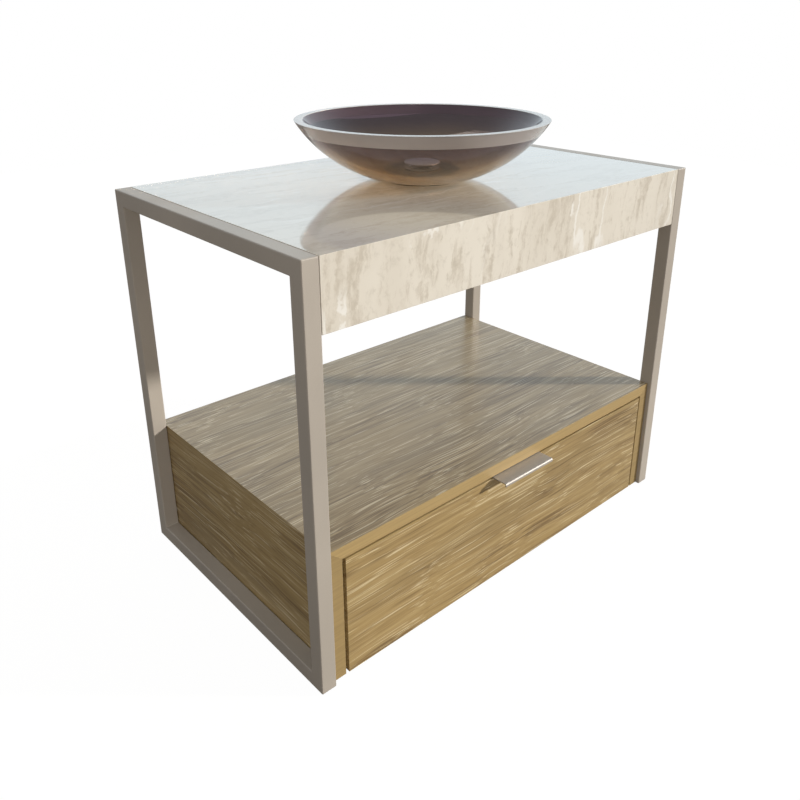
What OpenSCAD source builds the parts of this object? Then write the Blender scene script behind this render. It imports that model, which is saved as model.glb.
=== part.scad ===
// Washstand: two steel side frames carry a stone top with a deep front apron
// and a low oak cabinet with one drawer. A glass vessel bowl stands on the
// stone, clamped by a click-clack waste.
//
// Frame: +Z up, the front faces -Y, and the origin is on the floor under the
// middle of the overall box, edge pull included. Everything is in millimetres.

/* [Overall] */
// Width across both side frames
overall_w = 914; // [760:2:1220]
// Depth of the side frames
overall_d = 556; // [530:2:620]
// Height of the stone's upper face above the floor
overall_h = 715; // [680:1:800]

/* [Side frames] */
// Outer width of the square tube
tube = 28; // [25:1:32]
// Wall thickness of the tube
tube_wall = 2; // [1.5:0.5:3]
// Outer corner radius of the tube
tube_r = 2; // [1:0.5:3]
// Height of the nylon glides under the frames
glide_h = 2; // [2:1:5]

/* [Stone] */
// Thickness of the stone slab and apron
stone_t = 20; // [18:1:24]
// Height of the front apron
apron_h = 109; // [90:1:130]
// Diameter of the waste hole in the stone and the glass
waste_hole_d = 45; // [44:0.5:48]

/* [Cabinet] */
// Height of the cabinet's upper face
cabinet_top_z = 252; // [240:1:280]
// Gap between the floor and the cabinet
cabinet_floor_gap = 4; // [4:1:10]
// Set-back of the cabinet's front behind the frames' front
cabinet_recess = 8; // [4:1:12]
// Thickness of the side panels
side_t = 25; // [22:1:28]
// Thickness of the top panel
top_t = 22; // [18:1:25]
// Gap around the drawer front
front_gap = 3.5; // [3:0.5:4]
// Wider gap at the left edge of the drawer front
left_gap = 6.5; // [3:0.5:8]

/* [Drawer] */
// Thickness of the drawer front
front_t = 20; // [18:1:22]
// Height of the drawer box
box_h = 150; // [120:1:155]
// Length of the drawer slides, which is also the drawer's travel
slide_len = 450; // [400:50:450]
// Length of the edge pull
pull_len = 130; // [100:1:180]
// How far the edge pull stands proud of the drawer front
pull_out = 31; // [25:1:40]

/* [Bowl] */
// Outer diameter of the bowl's rim
bowl_d = 456; // [420:1:470]
// Height of the rim above the stone
bowl_h = 109; // [100:1:125]
// Diameter of the bowl's flat base
base_d = 150; // [130:1:160]
// Thickness of the glass
glass_t = 13; // [11:0.5:14]
// How far the bowl stands in front of the middle of the stone
bowl_forward = 9; // [0:1:30]

/* [Hidden] */
$fn = 96;

// ---- Shared planes ----
front = (pull_out - cabinet_recess - overall_d) / 2;
rear = front + overall_d;
middle_y = (front + rear) / 2;
glide_y = [front + 60, rear - 60];
glide_r = 10;
glide_plug_r = 4;
inner_w = overall_w - 2 * tube;
slab_under = overall_h - stone_t;
joint = 0.5;

// ---- Stone and its supports ----
bar_w = 40;
bar_t = 5;
ledge_w = 20;
ledge_end_gap = 2;
bedding_t = 2;
bedding_r = 9;
bedding_y = [middle_y - 170, middle_y, middle_y + 170];
bedding_x = [-300, -100, 100, 300];
bar_top = slab_under - bedding_t;
bracket_x = 250;
bracket_w = 40;
bracket_h = 50;
bracket_t = 4;
bracket_leg = 35;
bracket_hole_r = 3.5;
bracket_drop = 28;

// ---- Cabinet ----
cabinet_w = inner_w - 2 * joint;
cabinet_front = front + cabinet_recess;
band_t = 1.5;
opening_w = cabinet_w - 2 * side_t;
top_under = cabinet_top_z - top_t;
bottom_z = cabinet_floor_gap + 2;
bottom_t = 16;
floor_z = bottom_z + bottom_t;
back_t = 8;
back_inset = 4;
back_y = rear - back_inset - back_t;
bolt_r = 3;
bolt_hole_r = 3.1;
bolt_head_r = 5;
bolt_head_h = 4;
bolt_sink_r = 6;
bolt_sink = 6;
bolt_end = 8;
bolt_y = [front + tube - 7, rear - tube + 7];
bolt_z = [60, 195];
insert_r = 4.5;
insert_len = 10;
insert_flange_r = 6.5;
dowel_r = 4;
dowel_len = 30;
dowel_y = [middle_y - 200, middle_y - 70, middle_y + 70, middle_y + 200];
fit_gap = 0.05;

// ---- Drawer ----
front_left = left_gap - opening_w / 2;
front_right = opening_w / 2 - front_gap;
front_back = cabinet_front + front_t;
front_top = top_under - front_gap;
slide_t = 12.7;
slide_gap = 0.1;
box_w = opening_w - 2 * (slide_t + slide_gap);
box_t = 15;
box_z = floor_z + 12;
box_len = 465;
box_front = front_back;
box_rear = box_front + box_len;
base_t = 9;
base_z = box_z + 10;
groove = 6;
base_front = box_front + box_t - groove;
base_rear = box_rear - box_t + groove;
pull_t = 2;
pull_lip = 6;
pull_screw_r = 1.75;
pull_screw_head_r = 3;
pull_screw_head_h = 0.8;
pull_screw_len = 18;
pull_screw_x = pull_len / 2 - 22;
face_screw_r = 2;
face_screw_head_r = 4;
face_screw_head_h = 1.5;
face_screw_len = 30;
face_screw_x = [-300, -100, 100, 300];
face_screw_y = box_front + box_t - face_screw_len;
face_screw_z = box_z + box_h / 2;

// ---- Slides: three nested channels ----
slide_h = [45, 36.6, 28.2];
slide_low = [0, 3, 6];
slide_high = [10.5, 11, slide_t];
slide_sheet = 1.2;
slide_z = box_z + 75;
slide_front = front_back + 2;
slide_screw_r = 1.8;
slide_head_r = 3.3;
slide_head_h = 1;
slide_screw_bite = 8;
slide_screw_y = [for (d = [30, slide_len / 2, slide_len - 30]) slide_front + d];

// ---- Bowl: the glass wall is an arc about a centre off the axis ----
gasket_t = 2;
gasket_r = [38, 70];
bowl_r = bowl_d / 2;
base_r = base_d / 2;
glass_h = bowl_h - gasket_t;
bulge = 19;
chord = [bowl_r - base_r, glass_h];
chord_len = norm(chord);
arc_r = (chord_len * chord_len / 4 + bulge * bulge) / (2 * bulge);
arc_x = (bowl_r + base_r) / 2 - chord[1] / chord_len * (arc_r - bulge);
arc_z = glass_h / 2 + chord[0] / chord_len * (arc_r - bulge);
bowl_y = middle_y - bowl_forward;
bowl_z = overall_h + gasket_t;
floor_t = 13;
floor_dip = 2;
hole_r = waste_hole_d / 2;

// ---- Waste ----
flange_r = 33;
waste_gasket_t = 1.5;
flange_z = bowl_z + floor_t - floor_dip + waste_gasket_t;
flange_t = 2.5;
flange_bevel = 1;
seat_r = 27;
seat_foot = flange_z - 4;
thread_r = 20.5;
bore_r = 16.5;
body_end = overall_h - 65;
nut_play = 0.1;
washer_r = 34;
washer_t = 5;
slip_t = 2;
slip_z = slab_under - washer_t - slip_t;
nut_t = 10;
nut_flats = 54;
seal_t = 2;
tail_top = body_end - seal_t;
tail_end = overall_h - 215;
tail_r = 15.9;
tail_bore_r = 14.7;
hub_r = 18;
hub_len = 12;
shoulder_t = 2;
shoulder_z = tail_top - shoulder_t;
collar_r = 25;
collar_lip = 3;
collar_len = 16;
rib_w = 4;
rib_out = 1.5;

// ---- Click-clack stopper ----
lift = 8;
cap_r = 33;
cap_edge = 2.5;
cap_dome = 3;
cap_z = flange_z + flange_t + lift;
seal_r = [18, 22];
stopper_seal_t = 2.5;
stem_r = 5;
stem_play = 0.06;
stem_end = flange_z - 22;
cartridge_top = flange_z - 10;
cartridge_end = flange_z - 40;
cartridge_r = 8;
cartridge_floor = 2;
spider_t = 5;
spider_ring = 1.5;
spider_arm = 3;
spring_r = 4;
spring_wire_r = 0.5;
spring_turns = 5;
spring_steps = 14;
spring_sides = 6;

// ---------------------------------------------------------------- colours
frame_grey = "#a59b8f";
stone_beige = "#e0d8ca";
oak = "#a88c5c";
oak_band = "#b59a66";
birch = "#d9c7a3";
nickel = "#aaa59e";
zinc = "#c4c6c8";
chrome = "#d8dadc";
smoked_glass = "#6b5650";
rubber_black = "#2b2b2b";
nylon_white = "#e9e7e2";

// ---------------------------------------------------------------- helpers
// A square of side w about the origin with corner radius r.
module rounded_square(w, r) {
    square([w, w - 2 * r], center = true);
    square([w - 2 * r, w], center = true);
    for (x = [-1, 1], y = [-1, 1])
        translate([x * (w / 2 - r), y * (w / 2 - r)]) circle(r = r);
}

// The square tube's section.
module tube_section() {
    difference() {
        rounded_square(tube, tube_r);
        square(tube - 2 * tube_wall, center = true);
    }
}

// Extrudes a YZ outline across x0 to x1.
module across_x(x0, x1) {
    translate([x0, 0, 0]) rotate([90, 0, 90]) linear_extrude(x1 - x0) children();
}

// Extrudes an XZ outline across y0 to y1.
module across_y(y0, y1) {
    translate([0, y1, 0]) rotate([90, 0, 0]) linear_extrude(y1 - y0) children();
}

// A box from one corner to the opposite one.
module block(low, high) {
    translate(low) cube(high - low);
}

// A cylinder along X that starts x from the middle plane and runs outwards on
// side -1 or 1.
module rod_out(side, x, y, z, r, len) {
    translate([side > 0 ? x : -x - len, y, z]) rotate([0, 90, 0]) cylinder(r = r, h = len);
}

// A cylinder along +Y from the point given.
module rod_y(point, r, len) {
    translate(point) rotate([-90, 0, 0]) cylinder(r = r, h = len);
}

// A flat ring standing on z.
module ring(r_in, r_out, z, h) {
    translate([0, 0, z]) difference() {
        cylinder(r = r_out, h = h);
        translate([0, 0, -1]) cylinder(r = r_in, h = h + 2);
    }
}

// Puts its children on the bowl's axis.
module on_bowl_axis() {
    translate([0, bowl_y, 0]) children();
}

// ---------------------------------------------------------------- side frames
// Mitred outline of one member of a side frame, in Y and Z.
module member_outline(member) {
    lo = glide_h;
    hi = overall_h;
    outer = [[front, lo], [front, hi], [rear, hi], [rear, lo]];
    inner = [
        [front + tube, lo + tube], [front + tube, hi - tube],
        [rear - tube, hi - tube], [rear - tube, lo + tube]
    ];
    first = member == "front_post" ? 0 : member == "top_rail" ? 1 : member == "rear_post" ? 2 : 3;
    next = (first + 1) % 4;
    polygon([outer[first], outer[next], inner[next], inner[first]]);
}

// The uncut tube of one member, with its middle line in the plane x = 0.
module member_tube(member) {
    if (member == "front_post" || member == "rear_post")
        translate([0, member == "front_post" ? front + tube / 2 : rear - tube / 2, glide_h])
            linear_extrude(overall_h - glide_h) tube_section();
    else
        translate([0, front, member == "top_rail" ? overall_h - tube / 2 : glide_h + tube / 2])
            rotate([-90, 0, 0]) linear_extrude(overall_d) tube_section();
}

// One member of the side frame on side -1 or 1, with its bolt or glide holes.
module frame_member(side, member) {
    mid_x = side * (overall_w - tube) / 2;
    color(frame_grey) difference() {
        intersection() {
            translate([mid_x, 0, 0]) member_tube(member);
            across_x(mid_x - tube, mid_x + tube) member_outline(member);
        }
        if (member == "front_post" || member == "rear_post")
            for (z = bolt_z)
                rod_out(side, inner_w / 2 - 1, bolt_y[member == "front_post" ? 0 : 1], z,
                        insert_r + fit_gap, tube_wall + 2);
        if (member == "bottom_rail")
            for (y = glide_y)
                translate([mid_x, y, 0]) cylinder(r = glide_plug_r + fit_gap, h = glide_h + tube_wall + 2);
    }
}

// Nylon glides: a disc under the bottom rail and a plug pressed into it.
module foot_glides() {
    color(nylon_white)
        for (side = [-1, 1], y = glide_y)
            translate([side * (overall_w - tube) / 2, y, 0]) {
                cylinder(r = glide_r, h = glide_h);
                cylinder(r = glide_plug_r, h = glide_h + tube_wall + 6);
            }
}

// ---------------------------------------------------------------- supports and stone
// A flat bar on the inner face of a top rail, under the slab's end.
module stone_ledge(side) {
    wall = side * inner_w / 2;
    color(frame_grey)
        block([min(wall, wall - side * ledge_w), front + tube, bar_top - bar_t],
              [max(wall, wall - side * ledge_w), rear - bar_w - ledge_end_gap, bar_top]);
}

// A flat bar on edge behind the apron, between the front posts.
module front_cross_bar() {
    color(frame_grey)
        block([-inner_w / 2, front + stone_t, slab_under - bar_w],
              [inner_w / 2, front + stone_t + bar_t, slab_under]);
}

// A flat bar under the slab's rear edge, between the top rails.
module rear_cross_bar() {
    color(frame_grey)
        block([-inner_w / 2, rear - bar_w, bar_top - bar_t], [inner_w / 2, rear, bar_top]);
}

// Two angle brackets under the rear bar, each with a hole for a wall screw.
module wall_brackets() {
    top = bar_top - bar_t;
    foot = top - bracket_h;
    color(frame_grey)
        for (side = [-1, 1])
            difference() {
                across_x(side * bracket_x - bracket_w / 2, side * bracket_x + bracket_w / 2)
                    polygon([
                        [rear, top], [rear, foot], [rear - bracket_t, foot],
                        [rear - bracket_t, top - bracket_t], [rear - bracket_leg, top - bracket_t],
                        [rear - bracket_leg, top]
                    ]);
                rod_y([side * bracket_x, rear - bracket_t - 1, top - bracket_drop],
                      bracket_hole_r, bracket_t + 2);
            }
}

// The slab, mitred along its front edge.
module stone_top() {
    color(stone_beige) difference() {
        across_x(-inner_w / 2 + joint, inner_w / 2 - joint)
            polygon([
                [front, overall_h], [front + stone_t, slab_under], [rear, slab_under], [rear, overall_h]
            ]);
        on_bowl_axis() translate([0, 0, slab_under - 1]) cylinder(r = hole_r, h = stone_t + 2);
    }
}

// The apron, mitred to the slab.
module stone_apron() {
    foot = overall_h - apron_h;
    color(stone_beige)
        across_x(-inner_w / 2 + joint, inner_w / 2 - joint)
            polygon([
                [front, foot], [front + stone_t, foot], [front + stone_t, slab_under], [front, overall_h]
            ]);
}

// Soft pads between the steel and the slab.
module stone_bedding_pads() {
    color(rubber_black) {
        for (side = [-1, 1], y = bedding_y)
            translate([side * (inner_w - ledge_w) / 2, y, bar_top]) cylinder(r = bedding_r, h = bedding_t);
        for (x = bedding_x)
            translate([x, rear - bar_w / 2, bar_top]) cylinder(r = bedding_r, h = bedding_t);
    }
}

// ---------------------------------------------------------------- cabinet
// Outline of the top panel in X and Z, cut on a slant to meet the side panels.
module top_panel_outline() {
    polygon([
        [-cabinet_w / 2, cabinet_top_z], [cabinet_w / 2, cabinet_top_z],
        [opening_w / 2, top_under], [-opening_w / 2, top_under]
    ]);
}

// Outline of a side panel in X and Z.
module side_panel_outline(side) {
    polygon([
        [side * cabinet_w / 2, cabinet_floor_gap], [side * cabinet_w / 2, cabinet_top_z],
        [side * opening_w / 2, top_under], [side * opening_w / 2, cabinet_floor_gap]
    ]);
}

// Dowels between the bottom panel and a side panel, or with a gap the bores
// for them.
module dowels(side, gap = 0) {
    for (y = dowel_y)
        rod_out(side, (opening_w - dowel_len) / 2, y, bottom_z + bottom_t / 2, dowel_r + gap, dowel_len);
}

module cabinet_top_panel() {
    color(oak) across_y(cabinet_front + band_t, rear) top_panel_outline();
}

module cabinet_side_panel(side) {
    color(oak) difference() {
        across_y(cabinet_front + band_t, rear) side_panel_outline(side);
        dowels(side, fit_gap);
        for (y = bolt_y, z = bolt_z) {
            rod_out(side, opening_w / 2, y, z, bolt_hole_r, side_t + 1);
            rod_out(side, opening_w / 2 - 1, y, z, bolt_sink_r, bolt_sink + 1);
        }
        for (y = slide_screw_y)
            rod_out(side, opening_w / 2 - 1, y, slide_z, slide_screw_r + fit_gap, slide_screw_bite + 2);
    }
}

module cabinet_bottom_panel() {
    color(oak) difference() {
        block([-opening_w / 2, front_back + 2, bottom_z], [opening_w / 2, back_y, floor_z]);
        dowels(-1, fit_gap);
        dowels(1, fit_gap);
    }
}

module cabinet_back_panel() {
    color(oak) block([-opening_w / 2, back_y, bottom_z], [opening_w / 2, back_y + back_t, top_under]);
}

// The band on the front edge of a side panel, or of the top panel for side 0.
module edge_band(side) {
    color(oak_band) across_y(cabinet_front, cabinet_front + band_t)
        if (side == 0) top_panel_outline();
        else side_panel_outline(side);
}

// Bolts from inside the cabinet into the posts, with sunk heads.
module frame_bolts() {
    seat = opening_w / 2 + bolt_sink;
    color(zinc)
        for (side = [-1, 1], y = bolt_y, z = bolt_z) {
            rod_out(side, seat, y, z, bolt_r, inner_w / 2 + bolt_end - seat);
            rod_out(side, seat - bolt_head_h, y, z, bolt_head_r, bolt_head_h);
        }
}

// Threaded inserts in the posts' walls, with a thin flange in the joint.
module frame_inserts() {
    color(zinc)
        for (side = [-1, 1], y = bolt_y, z = bolt_z)
            difference() {
                union() {
                    rod_out(side, inner_w / 2 - joint, y, z, insert_flange_r, joint);
                    rod_out(side, inner_w / 2, y, z, insert_r, insert_len);
                }
                rod_out(side, inner_w / 2 - 1, y, z, bolt_r + fit_gap, insert_len + 2);
            }
}

module cabinet_dowels() {
    color(birch) for (side = [-1, 1]) dowels(side);
}

// ---------------------------------------------------------------- drawer
// Puts its children at the tips of the edge pull's screws.
module at_pull_screws() {
    for (side = [-1, 1])
        translate([side * pull_screw_x, cabinet_front + front_t / 2, front_top - pull_screw_len]) children();
}

module drawer_front() {
    color(oak) difference() {
        block([front_left, cabinet_front, cabinet_floor_gap], [front_right, front_back, front_top]);
        at_pull_screws() cylinder(r = pull_screw_r + fit_gap, h = pull_screw_len + 1);
        for (x = face_screw_x) rod_y([x, face_screw_y, face_screw_z], face_screw_r + fit_gap, face_screw_len);
    }
}

module drawer_inner_front() {
    color(birch) difference() {
        block([-box_w / 2 + box_t, box_front, box_z], [box_w / 2 - box_t, box_front + box_t, box_z + box_h]);
        block([-box_w / 2, base_front, base_z], [box_w / 2, box_front + box_t + 1, base_z + base_t]);
        for (x = face_screw_x) rod_y([x, box_front - 1, face_screw_z], face_screw_r + fit_gap, box_t + 2);
    }
}

module drawer_back() {
    color(birch) difference() {
        block([-box_w / 2 + box_t, box_rear - box_t, box_z], [box_w / 2 - box_t, box_rear, box_z + box_h]);
        block([-box_w / 2, box_rear - box_t - 1, base_z], [box_w / 2, base_rear, base_z + base_t]);
    }
}

module drawer_side(side) {
    outer = side * box_w / 2;
    inner = outer - side * box_t;
    groove_end = inner + side * groove;
    color(birch) difference() {
        block([min(outer, inner), box_front, box_z], [max(outer, inner), box_rear, box_z + box_h]);
        block([min(inner - side, groove_end), base_front, base_z],
              [max(inner - side, groove_end), base_rear, base_z + base_t]);
        for (y = slide_screw_y)
            rod_out(side, box_w / 2 - slide_screw_bite - 2, y, slide_z,
                    slide_screw_r + fit_gap, slide_screw_bite + 3);
    }
}

module drawer_base() {
    half = box_w / 2 - box_t + groove;
    color(birch) block([-half, base_front, base_z], [half, base_rear, base_z + base_t]);
}

// A bent plate on the drawer front's upper edge, with a short lip turned down.
module edge_pull() {
    y0 = cabinet_front - pull_out;
    z1 = front_top + pull_t;
    bend = pull_t + 1;
    color(nickel) difference() {
        across_x(-pull_len / 2, pull_len / 2) difference() {
            union() {
                translate([y0 + bend, front_top]) square([front_back - y0 - bend, pull_t]);
                translate([y0, z1 - pull_lip]) square([pull_t, pull_lip - bend]);
                intersection() {
                    translate([y0 + bend, z1 - bend]) circle(r = bend);
                    translate([y0, z1 - bend]) square(bend);
                }
            }
            translate([y0 + bend, z1 - bend]) circle(r = bend - pull_t);
        }
        at_pull_screws() cylinder(r = pull_screw_r + fit_gap, h = pull_screw_len + pull_t + 1);
    }
}

module edge_pull_screws() {
    color(zinc) at_pull_screws() {
        cylinder(r = pull_screw_r, h = pull_screw_len + pull_t);
        translate([0, 0, pull_screw_len + pull_t]) cylinder(r = pull_screw_head_r, h = pull_screw_head_h);
    }
}

module drawer_front_screws() {
    color(zinc)
        for (x = face_screw_x) {
            rod_y([x, face_screw_y, face_screw_z], face_screw_r, face_screw_len);
            rod_y([x, face_screw_y + face_screw_len, face_screw_z], face_screw_head_r, face_screw_head_h);
        }
}

// ---------------------------------------------------------------- slides
// The sheet-steel channel of one slide member. stage 0 is fixed to the
// cabinet, 1 is between, and 2 is fixed to the drawer and opens the other way.
module slide_member(side, stage) {
    h = slide_h[stage];
    low = slide_low[stage];
    high = slide_high[stage];
    closed = stage == 2 ? [low - 1, high - slide_sheet] : [low + slide_sheet, high + 1];
    color(zinc) difference() {
        translate([side * opening_w / 2, slide_front, slide_z]) mirror([side > 0 ? 1 : 0, 0, 0])
            difference() {
                block([low, 0, -h / 2], [high, slide_len, h / 2]);
                block([closed[0], -1, slide_sheet - h / 2], [closed[1], slide_len + 1, h / 2 - slide_sheet]);
            }
        if (stage != 1)
            for (y = slide_screw_y)
                rod_out(side, opening_w / 2 - slide_t - 1, y, slide_z, slide_screw_r + fit_gap, slide_t + 2);
    }
}

// Screws from the outer members into the cabinet's sides.
module slide_cabinet_screws() {
    seat = opening_w / 2 - slide_sheet;
    color(zinc)
        for (side = [-1, 1], y = slide_screw_y) {
            rod_out(side, seat, y, slide_z, slide_screw_r, slide_sheet + slide_screw_bite);
            rod_out(side, seat - slide_head_h, y, slide_z, slide_head_r, slide_head_h);
        }
}

// Screws from the inner members into the drawer's sides.
module slide_drawer_screws() {
    seat = opening_w / 2 - slide_t + slide_sheet;
    bite = slide_sheet + slide_gap + slide_screw_bite;
    color(zinc)
        for (side = [-1, 1], y = slide_screw_y) {
            rod_out(side, seat - bite, y, slide_z, slide_screw_r, bite);
            rod_out(side, seat, y, slide_z, slide_head_r, slide_head_h);
        }
}

// ---------------------------------------------------------------- bowl
module bowl_section() {
    difference() {
        intersection() {
            translate([arc_x, arc_z]) circle(r = arc_r, $fn = 360);
            square([bowl_r + 1, glass_h]);
        }
        intersection() {
            translate([arc_x, arc_z]) circle(r = arc_r - glass_t, $fn = 360);
            polygon([
                [-1, floor_t - floor_dip], [flange_r + 1, floor_t - floor_dip], [base_r - 4, floor_t],
                [bowl_r + 1, floor_t], [bowl_r + 1, glass_h + 1], [-1, glass_h + 1]
            ]);
        }
        translate([-1, -1]) square([hole_r + 1, floor_t + 2]);
    }
}

module glass_bowl() {
    color(smoked_glass) on_bowl_axis() translate([0, 0, bowl_z]) rotate_extrude($fn = 144) bowl_section();
}

module bowl_gasket() {
    color(rubber_black) on_bowl_axis() ring(gasket_r[0], gasket_r[1], overall_h, gasket_t);
}

// ---------------------------------------------------------------- waste
module waste_flange_gasket() {
    color(rubber_black) on_bowl_axis()
        ring(thread_r + nut_play, flange_r - 1, flange_z - waste_gasket_t, waste_gasket_t);
}

module waste_body() {
    top = flange_z + flange_t;
    seat_depth = top - seat_foot;
    color(chrome) on_bowl_axis() difference() {
        union() {
            translate([0, 0, body_end]) cylinder(r = thread_r, h = top - body_end);
            translate([0, 0, flange_z]) cylinder(r = flange_r, h = flange_t - flange_bevel);
            translate([0, 0, top - flange_bevel])
                cylinder(r1 = flange_r, r2 = flange_r - flange_bevel, h = flange_bevel);
        }
        translate([0, 0, body_end - 1]) cylinder(r = bore_r, h = top - body_end + 2);
        translate([0, 0, seat_foot]) cylinder(r1 = bore_r, r2 = seat_r, h = seat_depth);
    }
}

module waste_rubber_washer() {
    color(rubber_black) on_bowl_axis() ring(thread_r + nut_play, washer_r, slab_under - washer_t, washer_t);
}

module waste_slip_washer() {
    color(nylon_white) on_bowl_axis() ring(thread_r + nut_play, washer_r - 1, slip_z, slip_t);
}

module waste_lock_nut() {
    color(chrome) on_bowl_axis() translate([0, 0, slip_z - nut_t]) difference() {
        cylinder(r = nut_flats / 2 / cos(30), h = nut_t, $fn = 6);
        translate([0, 0, -1]) cylinder(r = thread_r + nut_play, h = nut_t + 2);
    }
}

module tailpiece() {
    color(chrome) on_bowl_axis() difference() {
        union() {
            translate([0, 0, tail_end]) cylinder(r = tail_r, h = tail_top - tail_end);
            translate([0, 0, tail_top - hub_len]) cylinder(r = hub_r, h = hub_len);
            translate([0, 0, shoulder_z]) cylinder(r = thread_r, h = shoulder_t);
        }
        translate([0, 0, tail_end - 1]) cylinder(r = tail_bore_r, h = tail_top - tail_end + 2);
    }
}

module tailpiece_seal() {
    color(rubber_black) on_bowl_axis() ring(bore_r, thread_r, tail_top, seal_t);
}

// The union nut: a lip under the tailpiece's shoulder and ribs for the hand.
module tailpiece_nut() {
    foot = shoulder_z - collar_lip;
    h = collar_lip + collar_len;
    color(chrome) on_bowl_axis() difference() {
        union() {
            translate([0, 0, foot]) cylinder(r = collar_r, h = h);
            for (a = [0 : 45 : 315])
                rotate(a) translate([collar_r - 1, -rib_w / 2, foot]) cube([rib_out + 1, rib_w, h]);
        }
        translate([0, 0, shoulder_z]) cylinder(r = thread_r + nut_play, h = h);
        translate([0, 0, foot - 1]) cylinder(r = hub_r + nut_play, h = h);
    }
}

// ---------------------------------------------------------------- click-clack stopper
// A sleeve for the stem, held in the waste by a ring and three arms.
module click_cartridge() {
    arms_z = cartridge_top - spider_t;
    arms_r = bore_r - fit_gap;
    color(chrome) on_bowl_axis() difference() {
        union() {
            translate([0, 0, cartridge_end]) cylinder(r = cartridge_r, h = cartridge_top - cartridge_end);
            ring(arms_r - spider_ring, arms_r, arms_z, spider_t);
            for (a = [90, 210, 330])
                rotate(a) translate([cartridge_r - 1, -spider_arm / 2, arms_z])
                    cube([arms_r - cartridge_r, spider_arm, spider_t]);
        }
        translate([0, 0, cartridge_end + cartridge_floor])
            cylinder(r = stem_r + stem_play, h = cartridge_top - cartridge_end);
    }
}

// A ring of points round the spring wire at the angle a along the helix.
function wire_ring(a, z0, pitch) = [
    for (k = [0 : spring_sides - 1])
        let (t = 360 * k / spring_sides, r = spring_r + spring_wire_r * cos(t))
            [r * cos(a), r * sin(a), z0 + pitch * a / 360 + spring_wire_r * sin(t)]
];

module stopper_spring() {
    z0 = cartridge_end + cartridge_floor + spring_wire_r + fit_gap;
    rise = stem_end - fit_gap - spring_wire_r - z0;
    pitch = rise / spring_turns;
    rings = spring_turns * spring_steps;
    n = spring_sides;
    points = [for (i = [0 : rings]) each wire_ring(360 * i / spring_steps, z0, pitch)];
    sides = [
        for (i = [0 : rings - 1], k = [0 : n - 1])
            [i * n + k, (i + 1) * n + k, (i + 1) * n + (k + 1) % n, i * n + (k + 1) % n]
    ];
    first = [for (k = [0 : n - 1]) k];
    last = [for (k = [n - 1 : -1 : 0]) rings * n + k];
    color(zinc) on_bowl_axis() polyhedron(points, concat([first], sides, [last]));
}

module stopper_stem() {
    color(chrome) on_bowl_axis() translate([0, 0, stem_end]) cylinder(r = stem_r, h = cap_z - stem_end);
}

module stopper_cap() {
    dome_r = (cap_r * cap_r + cap_dome * cap_dome) / (2 * cap_dome);
    color(chrome) on_bowl_axis() translate([0, 0, cap_z]) rotate_extrude() {
        square([cap_r, cap_edge]);
        intersection() {
            translate([0, cap_edge + cap_dome - dome_r]) circle(r = dome_r, $fn = 720);
            translate([0, cap_edge]) square([cap_r, cap_dome + 1]);
        }
    }
}

module stopper_seal() {
    color(rubber_black) on_bowl_axis() ring(seal_r[0], seal_r[1], cap_z - stopper_seal_t, stopper_seal_t);
}

// ---------------------------------------------------------------- assembly
frame_member(-1, "front_post");  // left_front_post
frame_member(-1, "rear_post");  // left_rear_post
frame_member(-1, "top_rail");  // left_top_rail
frame_member(-1, "bottom_rail");  // left_bottom_rail
frame_member(1, "front_post");  // right_front_post
frame_member(1, "rear_post");  // right_rear_post
frame_member(1, "top_rail");  // right_top_rail
frame_member(1, "bottom_rail");  // right_bottom_rail
foot_glides();
stone_ledge(-1);  // left_stone_ledge
stone_ledge(1);  // right_stone_ledge
front_cross_bar();
rear_cross_bar();
wall_brackets();
stone_top();
stone_apron();
stone_bedding_pads();
cabinet_top_panel();
cabinet_bottom_panel();
cabinet_side_panel(-1);  // cabinet_left_panel
cabinet_side_panel(1);  // cabinet_right_panel
cabinet_back_panel();
edge_band(0);  // top_edge_band
edge_band(-1);  // left_edge_band
edge_band(1);  // right_edge_band
frame_bolts();
frame_inserts();
cabinet_dowels();
drawer_front();
drawer_inner_front();
drawer_side(-1);  // drawer_left_side
drawer_side(1);  // drawer_right_side
drawer_back();
drawer_base();
edge_pull();
edge_pull_screws();
drawer_front_screws();
slide_member(-1, 0);  // left_slide_outer
slide_member(-1, 1);  // left_slide_middle
slide_member(-1, 2);  // left_slide_inner
slide_member(1, 0);  // right_slide_outer
slide_member(1, 1);  // right_slide_middle
slide_member(1, 2);  // right_slide_inner
slide_cabinet_screws();
slide_drawer_screws();
glass_bowl();
bowl_gasket();
waste_flange_gasket();
waste_body();
waste_rubber_washer();
waste_slip_washer();
waste_lock_nut();
tailpiece();
tailpiece_seal();
tailpiece_nut();
click_cartridge();
stopper_spring();
stopper_stem();
stopper_cap();
stopper_seal();
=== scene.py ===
"""Models the finished washstand around its frame: two powder-coated side frames,
a polished stone counter, a low oak cabinet with one drawer, and a smoked-glass
bowl with its waste."""

import math

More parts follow.
